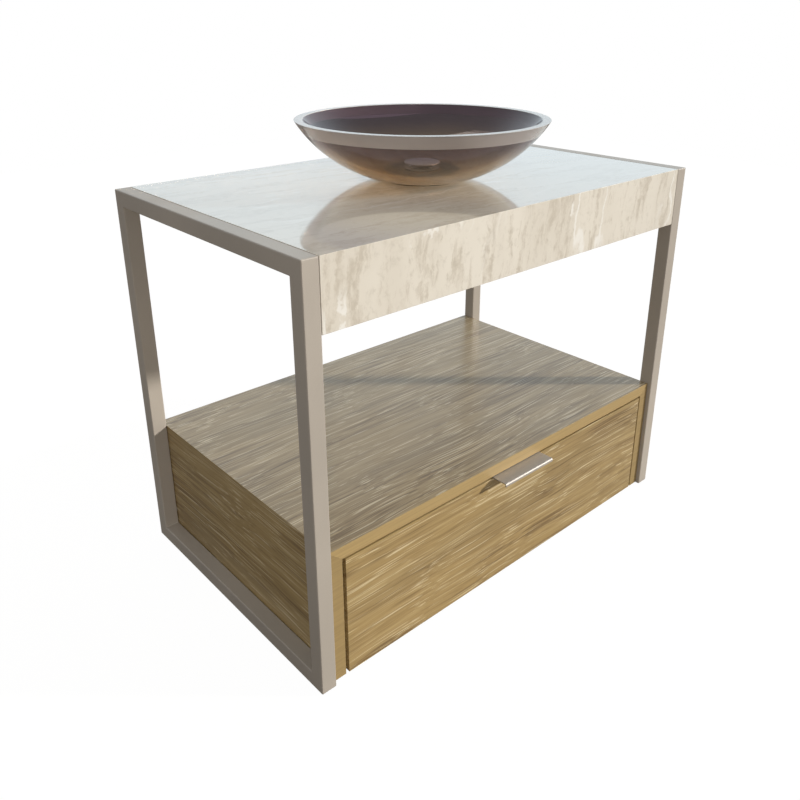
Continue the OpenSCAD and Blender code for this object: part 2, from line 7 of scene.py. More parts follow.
import bmesh
import bpy
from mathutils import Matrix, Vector


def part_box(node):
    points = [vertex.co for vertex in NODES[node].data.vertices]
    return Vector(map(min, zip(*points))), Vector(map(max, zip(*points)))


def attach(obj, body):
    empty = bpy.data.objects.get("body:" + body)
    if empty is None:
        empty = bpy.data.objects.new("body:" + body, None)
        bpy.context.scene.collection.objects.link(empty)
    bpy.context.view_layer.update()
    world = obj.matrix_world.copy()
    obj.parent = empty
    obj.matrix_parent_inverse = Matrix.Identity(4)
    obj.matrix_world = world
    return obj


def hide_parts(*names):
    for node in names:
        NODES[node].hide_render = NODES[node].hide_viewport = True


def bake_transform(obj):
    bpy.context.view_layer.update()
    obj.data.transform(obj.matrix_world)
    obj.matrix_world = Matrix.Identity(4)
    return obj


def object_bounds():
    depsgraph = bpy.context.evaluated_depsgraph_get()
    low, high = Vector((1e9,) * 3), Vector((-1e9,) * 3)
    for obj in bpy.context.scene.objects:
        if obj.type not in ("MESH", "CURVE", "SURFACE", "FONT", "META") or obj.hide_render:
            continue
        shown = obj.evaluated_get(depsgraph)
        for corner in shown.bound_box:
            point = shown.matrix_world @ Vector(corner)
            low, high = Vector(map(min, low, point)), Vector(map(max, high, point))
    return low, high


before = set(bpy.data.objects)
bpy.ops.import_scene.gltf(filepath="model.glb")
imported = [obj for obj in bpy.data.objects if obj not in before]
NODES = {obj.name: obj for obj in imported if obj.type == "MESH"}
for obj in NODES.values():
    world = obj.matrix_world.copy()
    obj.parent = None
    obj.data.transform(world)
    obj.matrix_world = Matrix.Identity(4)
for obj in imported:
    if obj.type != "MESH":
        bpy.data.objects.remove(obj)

bl_info = {
    "name": "Washstand",
    "version": (1, 0, 0),
    "blender": (4, 5, 0),
    "location": "3D View > Sidebar > Washstand",
    "description": "Models a glass bowl, its stone counter and the oak cabinet below",
    "category": "Add Mesh",
}

CAD_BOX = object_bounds()
MM = 0.001
TURN = 2 * math.pi
SMOOTH_ANGLE = 35
MERGE = 0.005 * MM
WHITE = (1, 1, 1, 1)


# ------------------------------------------------------------------ modelling
def low(node):
    """A node's lowest corner."""
    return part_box(node)[0]


def high(node):
    """A node's highest corner."""
    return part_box(node)[1]


def middle(node):
    """The middle of a node's box."""
    return (low(node) + high(node)) / 2


def only(obj):
    """Makes obj the one selected and active object."""
    if bpy.context.object and bpy.context.object.mode != "OBJECT":
        bpy.ops.object.mode_set(mode="OBJECT")
    bpy.ops.object.select_all(action="DESELECT")
    if obj:
        obj.select_set(True)
        bpy.context.view_layer.objects.active = obj


def pick_faces(test):
    """In edit mode, selects just the faces that pass the test."""
    bpy.ops.mesh.select_all(action="DESELECT")
    mesh = bpy.context.object.data
    shape = bmesh.from_edit_mesh(mesh)
    bpy.context.tool_settings.mesh_select_mode = (False, False, True)
    for face in shape.faces:
        if test(face):
            face.select_set(True)
    shape.select_flush_mode()
    bmesh.update_edit_mesh(mesh)


def face_outward():
    """In edit mode, turns every face of the mesh outward."""
    bpy.ops.mesh.select_all(action="SELECT")
    bpy.ops.mesh.normals_make_consistent(inside=False)


def settle(obj):
    """Puts the object's place into its mesh and shades it smooth up to an angle."""
    only(obj)
    bpy.ops.object.transform_apply(location=True, rotation=True, scale=True)
    bpy.ops.object.shade_smooth_by_angle(angle=math.radians(SMOOTH_ANGLE))
    obj.data.materials.clear()


def modify(obj, kind, **settings):
    """Adds a modifier with these settings and applies it."""
    only(obj)
    modifier = obj.modifiers.new(kind.title(), kind)
    for name, value in settings.items():
        setattr(modifier, name, value)
    bpy.ops.object.modifier_apply(modifier=modifier.name)


def ease(obj, width, segments=3, angle=30):
    """Rounds every edge that is sharper than the angle, and keeps the flat faces shaded flat."""
    modify(obj, "BEVEL", width=width, segments=segments, limit_method="ANGLE",
           angle_limit=math.radians(angle), harden_normals=False)
    settle(obj)
    modify(obj, "WEIGHTED_NORMAL", mode="FACE_AREA", keep_sharp=True)


def block(name, lowest, highest):
    """A cube primitive stretched between two corners."""
    only(None)
    centre = (Vector(lowest) + Vector(highest)) / 2
    bpy.ops.mesh.primitive_cube_add(size=1, location=centre)
    obj = bpy.context.object
    obj.name = name
    obj.scale = Vector(highest) - Vector(lowest)
    bpy.ops.object.transform_apply(location=True, rotation=True, scale=True)
    return obj


def eased_copy(node, name, width, segments=3):
    """A merged copy of a CAD node with its sharp edges rounded."""
    obj = bpy.data.objects.new(name, NODES[node].data.copy())
    bpy.context.collection.objects.link(obj)
    only(obj)
    bpy.ops.object.mode_set(mode="EDIT")
    bpy.ops.mesh.select_all(action="SELECT")
    bpy.ops.mesh.customdata_custom_splitnormals_clear()
    bpy.ops.mesh.remove_doubles(threshold=MERGE)
    bpy.ops.mesh.dissolve_limited(angle_limit=math.radians(0.5))
    bpy.ops.object.mode_set(mode="OBJECT")
    ease(obj, width, segments)
    return obj


def outline_object(name, points):
    """An object of one open chain of edges: a plane merged to a point and extruded."""
    only(None)
    bpy.ops.mesh.primitive_plane_add(size=MM, location=points[0])
    obj = bpy.context.object
    obj.name = name
    bpy.ops.object.transform_apply(location=True, rotation=True, scale=True)
    bpy.ops.object.mode_set(mode="EDIT")
    bpy.context.tool_settings.mesh_select_mode = (True, False, False)
    bpy.ops.mesh.select_all(action="SELECT")
    bpy.ops.mesh.merge(type="CENTER")
    for before, after in zip(points, points[1:]):
        step = Vector(after) - Vector(before)
        bpy.ops.mesh.extrude_region_move(TRANSFORM_OT_translate={"value": step})
    return obj


def arc(centre, radius, start, end, steps):
    """Points of an arc in a half plane, as (distance from the axis, height)."""
    angles = [math.radians(start + (end - start) * i / steps) for i in range(steps + 1)]
    return [(centre[0] + radius * math.cos(a), centre[1] + radius * math.sin(a)) for a in angles]


def lathe(name, axis, outline, steps=128):
    """Spins an outline of (radius, height) points round the upright axis at (x, y)."""
    x, y = axis
    obj = outline_object(name, [(x + r, y, z) for r, z in outline])
    bpy.ops.mesh.select_all(action="SELECT")
    bpy.ops.mesh.spin(steps=steps, angle=TURN, center=(x, y, 0), axis=(0, 0, 1))
    bpy.ops.mesh.select_all(action="SELECT")
    bpy.ops.mesh.remove_doubles(threshold=MERGE)
    face_outward()
    bpy.ops.object.mode_set(mode="OBJECT")
    return obj


def fit_out(obj, body, material, replaces=()):
    """Hands a finished piece to the frame and gives it its material."""
    obj.data.materials.clear()
    obj.data.materials.append(material)
    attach(obj, body)
    if replaces:
        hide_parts(*replaces)


def dress(node, material):
    """Gives a CAD node that stays in view its material."""
    mesh = NODES[node].data
    mesh.materials.clear()
    mesh.materials.append(material)


# ------------------------------------------------------------------ shader nodes
def put(tree, kind, inputs=None, **options):
    """Adds a shader node, sets its options and fills its sockets."""
    node = tree.nodes.new("ShaderNode" + kind)
    for name, value in options.items():
        setattr(node, name, value)
    feed(tree, node, inputs or {})
    return node


def feed(tree, node, inputs):
    """Fills a node's sockets, each with a link or a value."""
    for key, value in inputs.items():
        if isinstance(value, bpy.types.NodeSocket):
            tree.links.new(value, node.inputs[key])
        else:
            node.inputs[key].default_value = value


def tinted(colour, factor):
    """A colour made lighter or darker by a factor."""
    return tuple(min(1.0, part * factor) for part in colour[:3]) + (1,)


def sums(tree, operation, first, second=0.0):
    """A Math node's result."""
    return put(tree, "Math", {0: first, 1: second}, operation=operation).outputs[0]


def remap(tree, value, low_in, high_in, low_out=0.0, high_out=1.0):
    """A value eased from one range to another."""
    node = put(tree, "MapRange", {"Value": value, "From Min": low_in, "From Max": high_in,
                                  "To Min": low_out, "To Max": high_out},
               interpolation_type="SMOOTHSTEP")
    return node.outputs[0]


def blend(tree, share, first, second, way="MIX"):
    """Two colours mixed by a share."""
    node = put(tree, "Mix", {0: share, 6: first, 7: second}, data_type="RGBA", blend_type=way)
    return node.outputs[2]


def stretch(tree, vector, scale, turn=(0, 0, 0), shift=(0, 0, 0)):
    """Coordinates scaled, turned and shifted."""
    node = put(tree, "Mapping", {"Vector": vector, "Scale": scale, "Rotation": turn, "Location": shift})
    return node.outputs[0]


def noise(tree, vector, scale=1.0, detail=3.0, rough=0.5, twist=0.0):
    """A noise texture's value."""
    node = put(tree, "TexNoise", {"Vector": vector, "Scale": scale, "Detail": detail,
                                  "Roughness": rough, "Distortion": twist})
    return node.outputs[0]


def warp(tree, place, scale, detail, rough, reach):
    """Coordinates pushed about by soft noise, as far as reach along each axis."""
    drift = put(tree, "TexNoise", {"Vector": stretch(tree, place, scale), "Scale": 1.0,
                                   "Detail": detail, "Roughness": rough})
    offset = put(tree, "VectorMath", {0: drift.outputs["Color"], 1: (0.5, 0.5, 0.5)},
                 operation="SUBTRACT")
    sway = put(tree, "VectorMath", {0: offset.outputs[0], 1: reach}, operation="MULTIPLY")
    return put(tree, "VectorMath", {0: place, 1: sway.outputs[0]}, operation="ADD").outputs[0]


def group(name, outputs):
    """An empty node group that takes a place and gives values: its tree, its place and its end."""
    tree = bpy.data.node_groups.new(name, "ShaderNodeTree")
    tree.interface.new_socket("Vector", in_out="INPUT", socket_type="NodeSocketVector")
    for label in outputs:
        tree.interface.new_socket(label, in_out="OUTPUT", socket_type="NodeSocketFloat")
    start = tree.nodes.new("NodeGroupInput")
    end = tree.nodes.new("NodeGroupOutput")
    return tree, start.outputs["Vector"], end


def use_group(tree, name, place):
    """Places a node group, built the first time that it is asked for."""
    node = tree.nodes.new("ShaderNodeGroup")
    node.node_tree = bpy.data.node_groups.get(name) or GROUPS[name](name)
    tree.links.new(place, node.inputs["Vector"])
    return node.outputs


def surface(name):
    """A new material: its node tree, its Principled shader and its Object coordinates."""
    material = bpy.data.materials.new(name)
    material.use_nodes = True
    tree = material.node_tree
    shader = tree.nodes["Principled BSDF"]
    place = tree.nodes.new("ShaderNodeTexCoord").outputs["Object"]
    return material, tree, shader, place


def bump(tree, shader, height, strength, distance=0.1 * MM):
    """Feeds a height to the shader's normal."""
    node = put(tree, "Bump", {"Height": height, "Strength": strength, "Distance": distance})
    tree.links.new(node.outputs[0], shader.inputs["Normal"])


def wear_group(name):
    """Hand marks, dust and hairlines that every finish carries a little of."""
    tree, place, end = group(name, ("Smudge", "Hairline", "Dust"))
    broad = noise(tree, stretch(tree, place, (6, 6, 6)), 1, 4, 0.55, 0.6)
    smudge = remap(tree, broad, 0.42, 0.68)
    fine = noise(tree, stretch(tree, place, (900, 14, 300), (0.3, 0.2, 0.7)), 1, 2)
    hairline = remap(tree, fine, 0.68, 0.74)
    speck = noise(tree, stretch(tree, place, (1100, 1100, 1100)), 1, 1)
    dust = sums(tree, "MULTIPLY", remap(tree, speck, 0.66, 0.76), smudge)
    feed(tree, end, {"Smudge": smudge, "Hairline": hairline, "Dust": dust})
    return tree


def grain_group(name):
    """Oak with its grain along X: growth figure, dark pores and lines, and pale rays."""
    tree, place, end = group(name, ("Figure", "Pore", "Line", "Ray", "Band", "Height"))
    bent = warp(tree, place, (2.6, 6, 6), 2.0, 0.5, (0.0, 0.03, 0.03))
    figure = noise(tree, stretch(tree, bent, (2.4, 130, 130)), 1, 4, 0.65, 0.1)
    fibre = noise(tree, stretch(tree, bent, (12, 560, 560)), 1, 2, 0.6)
    pore = remap(tree, fibre, 0.52, 0.66)
    thread = noise(tree, stretch(tree, bent, (4.2, 400, 400), shift=(3, 7, 1)), 1, 2, 0.5)
    ray = remap(tree, thread, 0.585, 0.66)
    cluster = noise(tree, stretch(tree, bent, (2.4, 26, 26), shift=(6, 4, 2)), 1, 3, 0.6)
    lines = noise(tree, stretch(tree, bent, (3.2, 300, 300), shift=(1, 5, 8)), 1, 2, 0.6)
    line = sums(tree, "MULTIPLY", remap(tree, lines, 0.49, 0.60), remap(tree, cluster, 0.44, 0.62))
    band = noise(tree, stretch(tree, bent, (1.2, 12, 12), shift=(9, 2, 5)), 1, 2, 0.5)
    height = sums(tree, "SUBTRACT", sums(tree, "MULTIPLY", figure, 0.5),
                  sums(tree, "MULTIPLY", pore, 0.8))
    feed(tree, end, {"Figure": figure, "Pore": pore, "Line": line, "Ray": ray, "Band": band,
                     "Height": height})
    return tree


def vein_group(name):
    """Banded stone with its bands along X: clouds, torn veins, milky streaks, mottle and pits."""
    tree, place, end = group(name, ("Cloud", "Vein", "Streak", "Mottle", "Pit"))
    bent = warp(tree, place, (20, 26, 26), 4.0, 0.6, (0.03, 0.028, 0.028))
    cloud = remap(tree, noise(tree, stretch(tree, bent, (3, 9, 9)), 1, 2, 0.5), 0.38, 0.64)
    torn = noise(tree, stretch(tree, bent, (5, 30, 30), shift=(4, 1, 8)), 1, 5, 0.68)
    vein = remap(tree, torn, 0.485, 0.60)
    milk = noise(tree, stretch(tree, bent, (2.6, 14, 14), shift=(2, 9, 3)), 1, 2, 0.5)
    thin = remap(tree, sums(tree, "ABSOLUTE", sums(tree, "SUBTRACT", milk, 0.44)), 0.020, 0.004)
    patch = noise(tree, stretch(tree, place, (4, 5, 5), shift=(7, 7, 7)), 1, 1)
    streak = sums(tree, "MULTIPLY", thin, remap(tree, patch, 0.45, 0.55))
    mottle = noise(tree, stretch(tree, bent, (70, 95, 95)), 1, 4, 0.65)
    pit = remap(tree, noise(tree, stretch(tree, place, (260, 330, 330)), 1, 1), 0.75, 0.79)
    feed(tree, end, {"Cloud": cloud, "Vein": vein, "Streak": streak, "Mottle": mottle, "Pit": pit})
    return tree


GROUPS = {"Wear": wear_group, "Oak grain": grain_group, "Stone veins": vein_group}


# ------------------------------------------------------------------ finishes
def powder_coat(colour):
    """Satin powder coat with a fine orange peel and faint speckle."""
    material, tree, shader, place = surface("Powder coat")
    wear = use_group(tree, "Wear", place)
    speckle = noise(tree, stretch(tree, place, (1500, 1500, 1500)), 1, 1)
    shade = noise(tree, stretch(tree, place, (3, 3, 3)), 1, 3)
    tone = blend(tree, remap(tree, shade, 0.3, 0.7), tinted(colour, 0.93), tinted(colour, 1.07))
    tone = blend(tree, remap(tree, speckle, 0.35, 0.75, 0.0, 0.10), tone, WHITE, "SOFT_LIGHT")
    tree.links.new(tone, shader.inputs["Base Color"])
    tree.links.new(remap(tree, wear["Smudge"], 0, 1, 0.34, 0.43), shader.inputs["Roughness"])
    peel = noise(tree, stretch(tree, place, (420, 420, 420)), 1, 2, 0.5)
    bump(tree, shader, peel, 0.22, 0.15 * MM)
    return material


def polished_stone(name, colours, along, depth, gloss, light=1.0, honed=False):
    """Banded stone, polished or honed matt. along lays its bands, depth is how strongly they show, and
    light lifts its brightness as painted light.
    """
    material, tree, shader, place = surface(name)
    veins = use_group(tree, "Stone veins", stretch(tree, place, (1, 1, 1), along))
    wear = use_group(tree, "Wear", place)
    clouded = sums(tree, "MULTIPLY", veins["Cloud"], 0.25 * depth)
    tone = blend(tree, clouded, colours.cream, colours.beige)
    torn = sums(tree, "MULTIPLY", veins["Vein"], remap(tree, veins["Mottle"], 0.3, 0.6, 0.35, 1.0))
    tone = blend(tree, sums(tree, "MULTIPLY", torn, 0.8 * depth), tone, colours.beige)
    tone = blend(tree, remap(tree, veins["Mottle"], 0.5, 0.78, 0.0, 0.30 * depth), tone, colours.vein)
    tone = blend(tree, sums(tree, "MULTIPLY", veins["Streak"], 0.7 * depth), tone, colours.streak)
    tone = blend(tree, sums(tree, "MULTIPLY", veins["Pit"], 0.30), tone, colours.vein)
    # A light above 1 is painted light: a lighter copy of the same stone.
    tone = put(tree, "HueSaturation", {"Value": light, "Color": tone}).outputs[0]
    tree.links.new(tone, shader.inputs["Base Color"])
    feed(tree, shader, {"IOR": 1.55, "Coat Weight": 0.0 if honed else 1.0, "Coat IOR": gloss,
                        "Coat Roughness": 0.015})
    low_rough, high_rough = (0.55, 0.65) if honed else (0.10, 0.16)
    rough = sums(tree, "ADD", remap(tree, wear["Smudge"], 0, 1, low_rough, high_rough),
                 sums(tree, "MULTIPLY", veins["Pit"], 0.3))
    tree.links.new(rough, shader.inputs["Roughness"])
    bump(tree, shader, sums(tree, "SUBTRACT", 0.0, veins["Pit"]), 0.08, 0.08 * MM)
    return material


def oak(name, colours, turn=(0, 0, 0), shift=(0, 0, 0), painted_sheen_grey=0.0):
    """Lacquered oak veneer. turn lays the grain, and the last argument greys it as a painted reflection
    of the pale sky.
    """
    material, tree, shader, place = surface(name)
    grain = use_group(tree, "Oak grain", stretch(tree, place, (1, 1, 1), turn, shift))
    wear = use_group(tree, "Wear", place)
    tone = blend(tree, remap(tree, grain["Band"], 0.36, 0.64), colours.mid, colours.warm)
    tone = blend(tree, remap(tree, grain["Figure"], 0.50, 0.66, 0.0, 0.6), tone, colours.light)
    tone = blend(tree, remap(tree, grain["Figure"], 0.48, 0.32, 0.0, 0.5), tone, colours.dark)
    tone = blend(tree, sums(tree, "MULTIPLY", grain["Line"], 0.7), tone, colours.dark)
    tone = blend(tree, sums(tree, "MULTIPLY", grain["Pore"], 0.25), tone, colours.dark)
    tone = blend(tree, sums(tree, "MULTIPLY", grain["Ray"], 0.72), tone, colours.ray)
    # Greying here is painted reflection: the pale sky mirrored on an upward face, not the oak's own
    # colour.
    tone = put(tree, "HueSaturation", {"Saturation": 1.0 - painted_sheen_grey, "Color": tone}).outputs[0]
    tree.links.new(tone, shader.inputs["Base Color"])
    shader.inputs["Coat Weight"].default_value = 0.6
    shader.inputs["Coat Roughness"].default_value = 0.22
    rough = sums(tree, "ADD", remap(tree, wear["Smudge"], 0, 1, 0.42, 0.50),
                 sums(tree, "MULTIPLY", grain["Pore"], 0.12))
    tree.links.new(rough, shader.inputs["Roughness"])
    bump(tree, shader, grain["Height"], 0.35, 0.15 * MM)
    return material


def edge_banding(colour, turn=(0, 0, 0)):
    """Plain oak banding: one even tone with faint lines along it."""
    material, tree, shader, place = surface("Edge banding")
    lines = noise(tree, stretch(tree, place, (8, 400, 400), turn), 1, 3, 0.6)
    tone = blend(tree, remap(tree, lines, 0.3, 0.7), tinted(colour, 0.9), tinted(colour, 1.06))
    tree.links.new(tone, shader.inputs["Base Color"])
    wear = use_group(tree, "Wear", place)
    tree.links.new(remap(tree, wear["Smudge"], 0, 1, 0.40, 0.48), shader.inputs["Roughness"])
    bump(tree, shader, lines, 0.15)
    return material


def birch(name, colour, layers):
    """Clear-lacquered birch ply. layers is 0, 1 or 2 for plies stacked along X, Y or Z."""
    material, tree, shader, place = surface(name)
    turn = ((0, 0, math.pi / 2), (0, 0, 0), (0, 0, 0))[layers]
    lines = noise(tree, stretch(tree, place, (9, 170, 170), turn), 1, 4, 0.6, 0.3)
    flame = noise(tree, stretch(tree, place, (12, 30, 30), turn, (5, 5, 5)), 1, 3, 0.5, 0.6)
    tone = blend(tree, remap(tree, lines, 0.3, 0.72), colour, tinted(colour, 0.80))
    tone = blend(tree, remap(tree, flame, 0.45, 0.7, 0.0, 0.35), tone, (0.93, 0.84, 0.66, 1))
    axis = put(tree, "SeparateXYZ", {0: place}).outputs[layers]
    two_plies = 3.0 * MM
    wave = sums(tree, "SINE", sums(tree, "MULTIPLY", axis, TURN / two_plies))
    tone = blend(tree, remap(tree, wave, 0.55, 0.85, 0.0, 0.35), tone, (0.36, 0.24, 0.12, 1))
    tree.links.new(tone, shader.inputs["Base Color"])
    wear = use_group(tree, "Wear", place)
    tree.links.new(remap(tree, wear["Smudge"], 0, 1, 0.38, 0.48), shader.inputs["Roughness"])
    bump(tree, shader, lines, 0.2)
    return material


def metal(name, colour, rough, brushed=0.0):
    """A bare or plated metal, brushed along X by the given amount."""
    material, tree, shader, place = surface(name)
    wear = use_group(tree, "Wear", place)
    lines = noise(tree, stretch(tree, place, (30, 2600, 2600)), 1, 2, 0.6)
    tone = blend(tree, remap(tree, lines, 0.3, 0.7), colour, tinted(colour, 0.90))
    tree.links.new(tone, shader.inputs["Base Color"])
    shader.inputs["Metallic"].default_value = 1.0
    base = remap(tree, wear["Smudge"], 0, 1, rough, rough + 0.06)
    base = sums(tree, "ADD", base, sums(tree, "MULTIPLY", wear["Hairline"], 0.08))
    tree.links.new(base, shader.inputs["Roughness"])
    bump(tree, shader, lines, brushed, 0.05 * MM)
    return material


def zinc_plate(colour):
    """Bright zinc plating with soft crystal patches."""
    material, tree, shader, place = surface("Zinc plate")
    patch = put(tree, "TexVoronoi", {"Vector": stretch(tree, place, (260, 260, 260)), "Scale": 1.0})
    tone = blend(tree, remap(tree, patch.outputs["Distance"], 0.1, 0.9), colour, tinted(colour, 0.82))
    tree.links.new(tone, shader.inputs["Base Color"])
    shader.inputs["Metallic"].default_value = 1.0
    wear = use_group(tree, "Wear", place)
    tree.links.new(remap(tree, wear["Smudge"], 0, 1, 0.27, 0.40), shader.inputs["Roughness"])
    bump(tree, shader, patch.outputs["Distance"], 0.1, 0.05 * MM)
    return material


def smoked_glass(colours, heights):
    """Thick glass, smoky above and amber at its foot, polished smooth. The amber foot is painted light:
    the warm lit stone seen through the base.
    """
    material, tree, shader, place = surface("Smoked glass")
    height = put(tree, "SeparateXYZ", {0: place}).outputs[2]
    cloud = noise(tree, stretch(tree, place, (5, 5, 5)), 1, 3)
    drift = sums(tree, "MULTIPLY", sums(tree, "SUBTRACT", cloud, 0.5), 20 * MM)
    share = remap(tree, sums(tree, "ADD", height, drift), *heights)
    # The amber at the foot is painted light, the glow of the warm lit stone under the glass.
    tree.links.new(blend(tree, share, colours.painted_glow_amber, colours.smoke), shader.inputs["Base Color"])
    shader.inputs["Transmission Weight"].default_value = 1.0
    shader.inputs["IOR"].default_value = 1.5
    wear = use_group(tree, "Wear", place)
    tree.links.new(remap(tree, wear["Smudge"], 0.3, 1, 0.0, 0.012), shader.inputs["Roughness"])
    wave = noise(tree, stretch(tree, place, (14, 14, 14)), 1, 1)
    bump(tree, shader, wave, 0.02, 0.2 * MM)
    let_lamps_through(tree, shader, colours.clear)
    return material


def ground_glass(name, colours, colour, transmission, rough):
    """Glass whose surface is ground: the satin band under the rim, or the polished rim. Their pale
    colours are partly painted light: painted reflection in the band, painted highlight along the rim.
    """
    material, tree, shader, place = surface(name)
    frost = noise(tree, stretch(tree, place, (900, 900, 900)), 1, 2)
    cloud = noise(tree, stretch(tree, place, (9, 9, 9)), 1, 3)
    tone = blend(tree, remap(tree, cloud, 0.3, 0.7), colour, tinted(colour, 0.88))
    from_inside = tree.nodes.new("ShaderNodeNewGeometry").outputs["Backfacing"]
    tree.links.new(blend(tree, from_inside, tone, colours.smoke), shader.inputs["Base Color"])
    feed(tree, shader, {"Transmission Weight": transmission, "Coat Weight": 0.5, "Coat Roughness": rough})
    tree.links.new(remap(tree, frost, 0.3, 0.7, rough, rough + 0.08), shader.inputs["Roughness"])
    bump(tree, shader, frost, 0.03, 0.05 * MM)
    let_lamps_through(tree, shader, colours.clear)
    return material


def let_lamps_through(tree, shader, colour):
    """Lets the lamps shine through glass, tinted."""
    clear = put(tree, "BsdfTransparent", {"Color": colour})
    ray = tree.nodes.new("ShaderNodeLightPath").outputs["Is Shadow Ray"]
    both = put(tree, "MixShader", {0: ray, 1: shader.outputs[0], 2: clear.outputs[0]})
    tree.links.new(both.outputs[0], tree.nodes["Material Output"].inputs["Surface"])


def moulded(name, colour, rough, grit):
    """Moulded rubber or nylon with a matt skin."""
    material, tree, shader, place = surface(name)
    skin = noise(tree, stretch(tree, place, (1800, 1800, 1800)), 1, 2)
    shade = noise(tree, stretch(tree, place, (35, 35, 35)), 1, 3)
    tone = blend(tree, remap(tree, shade, 0.3, 0.7), colour, tinted(colour, 0.82))
    wear = use_group(tree, "Wear", place)
    tone = blend(tree, sums(tree, "MULTIPLY", wear["Dust"], 0.25), tone, (0.6, 0.57, 0.52, 1))
    tree.links.new(tone, shader.inputs["Base Color"])
    tree.links.new(remap(tree, wear["Smudge"], 0, 1, rough, rough + 0.1), shader.inputs["Roughness"])
    bump(tree, shader, skin, grit, 0.1 * MM)
    return material


# ------------------------------------------------------------------ settings
def colour_property(label, text, default):
    return bpy.props.FloatVectorProperty(name=label, description=text, default=default, subtype="COLOR",
                                         size=4, min=0.0, max=1.0)


def length_property(label, text, default):
    return bpy.props.FloatProperty(name=label, description=text, default=default, unit="LENGTH",
                                   subtype="DISTANCE", min=0.0, precision=4)


class WashstandSizes(bpy.types.PropertyGroup):
    """Edge roundings and other sizes that only the eye needs."""
    tube_edge: length_property("Tube edge", "Rounding along the frames' square tube", 2.0 * MM)
    stone_edge: length_property("Stone edge", "Arris on the polished stone", 0.5 * MM)
    panel_edge: length_property("Panel edge", "Rounding along the veneered panels", 0.5 * MM)
    sheet_edge: length_property("Sheet edge", "Rounding along bent sheet metal", 0.35 * MM)
    rim_edge: length_property("Rim edge", "Rounding along the bowl's polished rim", 1.2 * MM)


class WashstandStone(bpy.types.PropertyGroup):
    """Colours in the polished stone."""
    cream: colour_property("Cream", "Ground colour of the stone", (0.745, 0.70, 0.615, 1))
    beige: colour_property("Beige", "Colour of the broad bands", (0.57, 0.515, 0.43, 1))
    vein: colour_property("Vein", "Colour of the dark veins and pits", (0.46, 0.41, 0.335, 1))
    streak: colour_property("Streak", "Colour of the milky streaks", (0.84, 0.82, 0.77, 1))


class WashstandOak(bpy.types.PropertyGroup):
    """Colours in the oak veneer."""
    mid: colour_property("Middle", "Ground colour of the oak", (0.33, 0.232, 0.100, 1))
    warm: colour_property("Warm", "Colour of the warmer bands", (0.40, 0.278, 0.115, 1))
    light: colour_property("Light", "Colour of the early wood", (0.50, 0.372, 0.178, 1))
    dark: colour_property("Dark", "Colour of the late wood and pores", (0.15, 0.090, 0.036, 1))
    ray: colour_property("Ray", "Colour of the pale rays", (0.74, 0.62, 0.39, 1))
    banding: colour_property("Banding", "Colour of the plain edge banding", (0.43, 0.305, 0.135, 1))
    birch: colour_property("Birch", "Colour of the drawer's birch ply", (0.70, 0.55, 0.36, 1))


class WashstandMetals(bpy.types.PropertyGroup):
    """Colours of the coated, plated and bare metal."""
    coat: colour_property("Powder coat", "Colour of the frames' coat", (0.44, 0.395, 0.34, 1))
    nickel: colour_property("Nickel", "Colour of the edge pull", (0.60, 0.565, 0.525, 1))
    chrome: colour_property("Chrome", "Colour of the waste", (0.80, 0.80, 0.81, 1))
    zinc: colour_property("Zinc", "Colour of the slides and screws", (0.62, 0.63, 0.64, 1))


class WashstandBowl(bpy.types.PropertyGroup):
    """The bowl's glass, and the rubber and nylon of its waste."""
    smoke: colour_property("Smoke", "Colour that the upper glass lets through", (0.195, 0.15, 0.18, 1))
    # Painted light: the amber foot stands for the warm light from the lit stone seen through the glass.
    painted_glow_amber: colour_property("Amber", "Colour that the glass's foot lets through", (0.48, 0.36, 0.245, 1))
    # The band's and the rim's pale colours are partly painted light: painted reflection under the rim,
    # painted highlight along it.
    band: colour_property("Band", "Colour of the satin band under the rim", (0.62, 0.565, 0.54, 1))
    rim: colour_property("Rim", "Colour of the polished rim", (0.97, 0.92, 0.85, 1))
    clear: colour_property("Clear", "Tint of light that falls through the glass", (0.86, 0.78, 0.68, 1))
    band_height: length_property("Band height", "Height of the satin band under the rim", 24 * MM)
    rubber: colour_property("Rubber", "Colour of seals and pads", (0.025, 0.025, 0.027, 1))
    nylon: colour_property("Nylon", "Colour of the slip washer and the glides", (0.72, 0.70, 0.66, 1))


class WashstandStage(bpy.types.PropertyGroup):
    """The studio round the washstand."""
    key: bpy.props.FloatProperty(name="Key light", description="Strength of the light from the right",
                                 default=3.3, min=0.0)
    fill: bpy.props.FloatProperty(name="Fill light", description="Strength of the light from the left",
                                  default=0.6, min=0.0)
    sky: bpy.props.FloatProperty(name="Sky", description="Strength of the light from all round",
                                 default=1.0, min=0.0)
    floor: colour_property("Floor", "Colour of the pale floor", (0.20, 0.18, 0.16, 1))


SETTINGS = {
    "washstand_sizes": WashstandSizes,
    "washstand_stone": WashstandStone,
    "washstand_oak": WashstandOak,
    "washstand_metals": WashstandMetals,
    "washstand_bowl": WashstandBowl,
    "washstand_stage": WashstandStage,
}


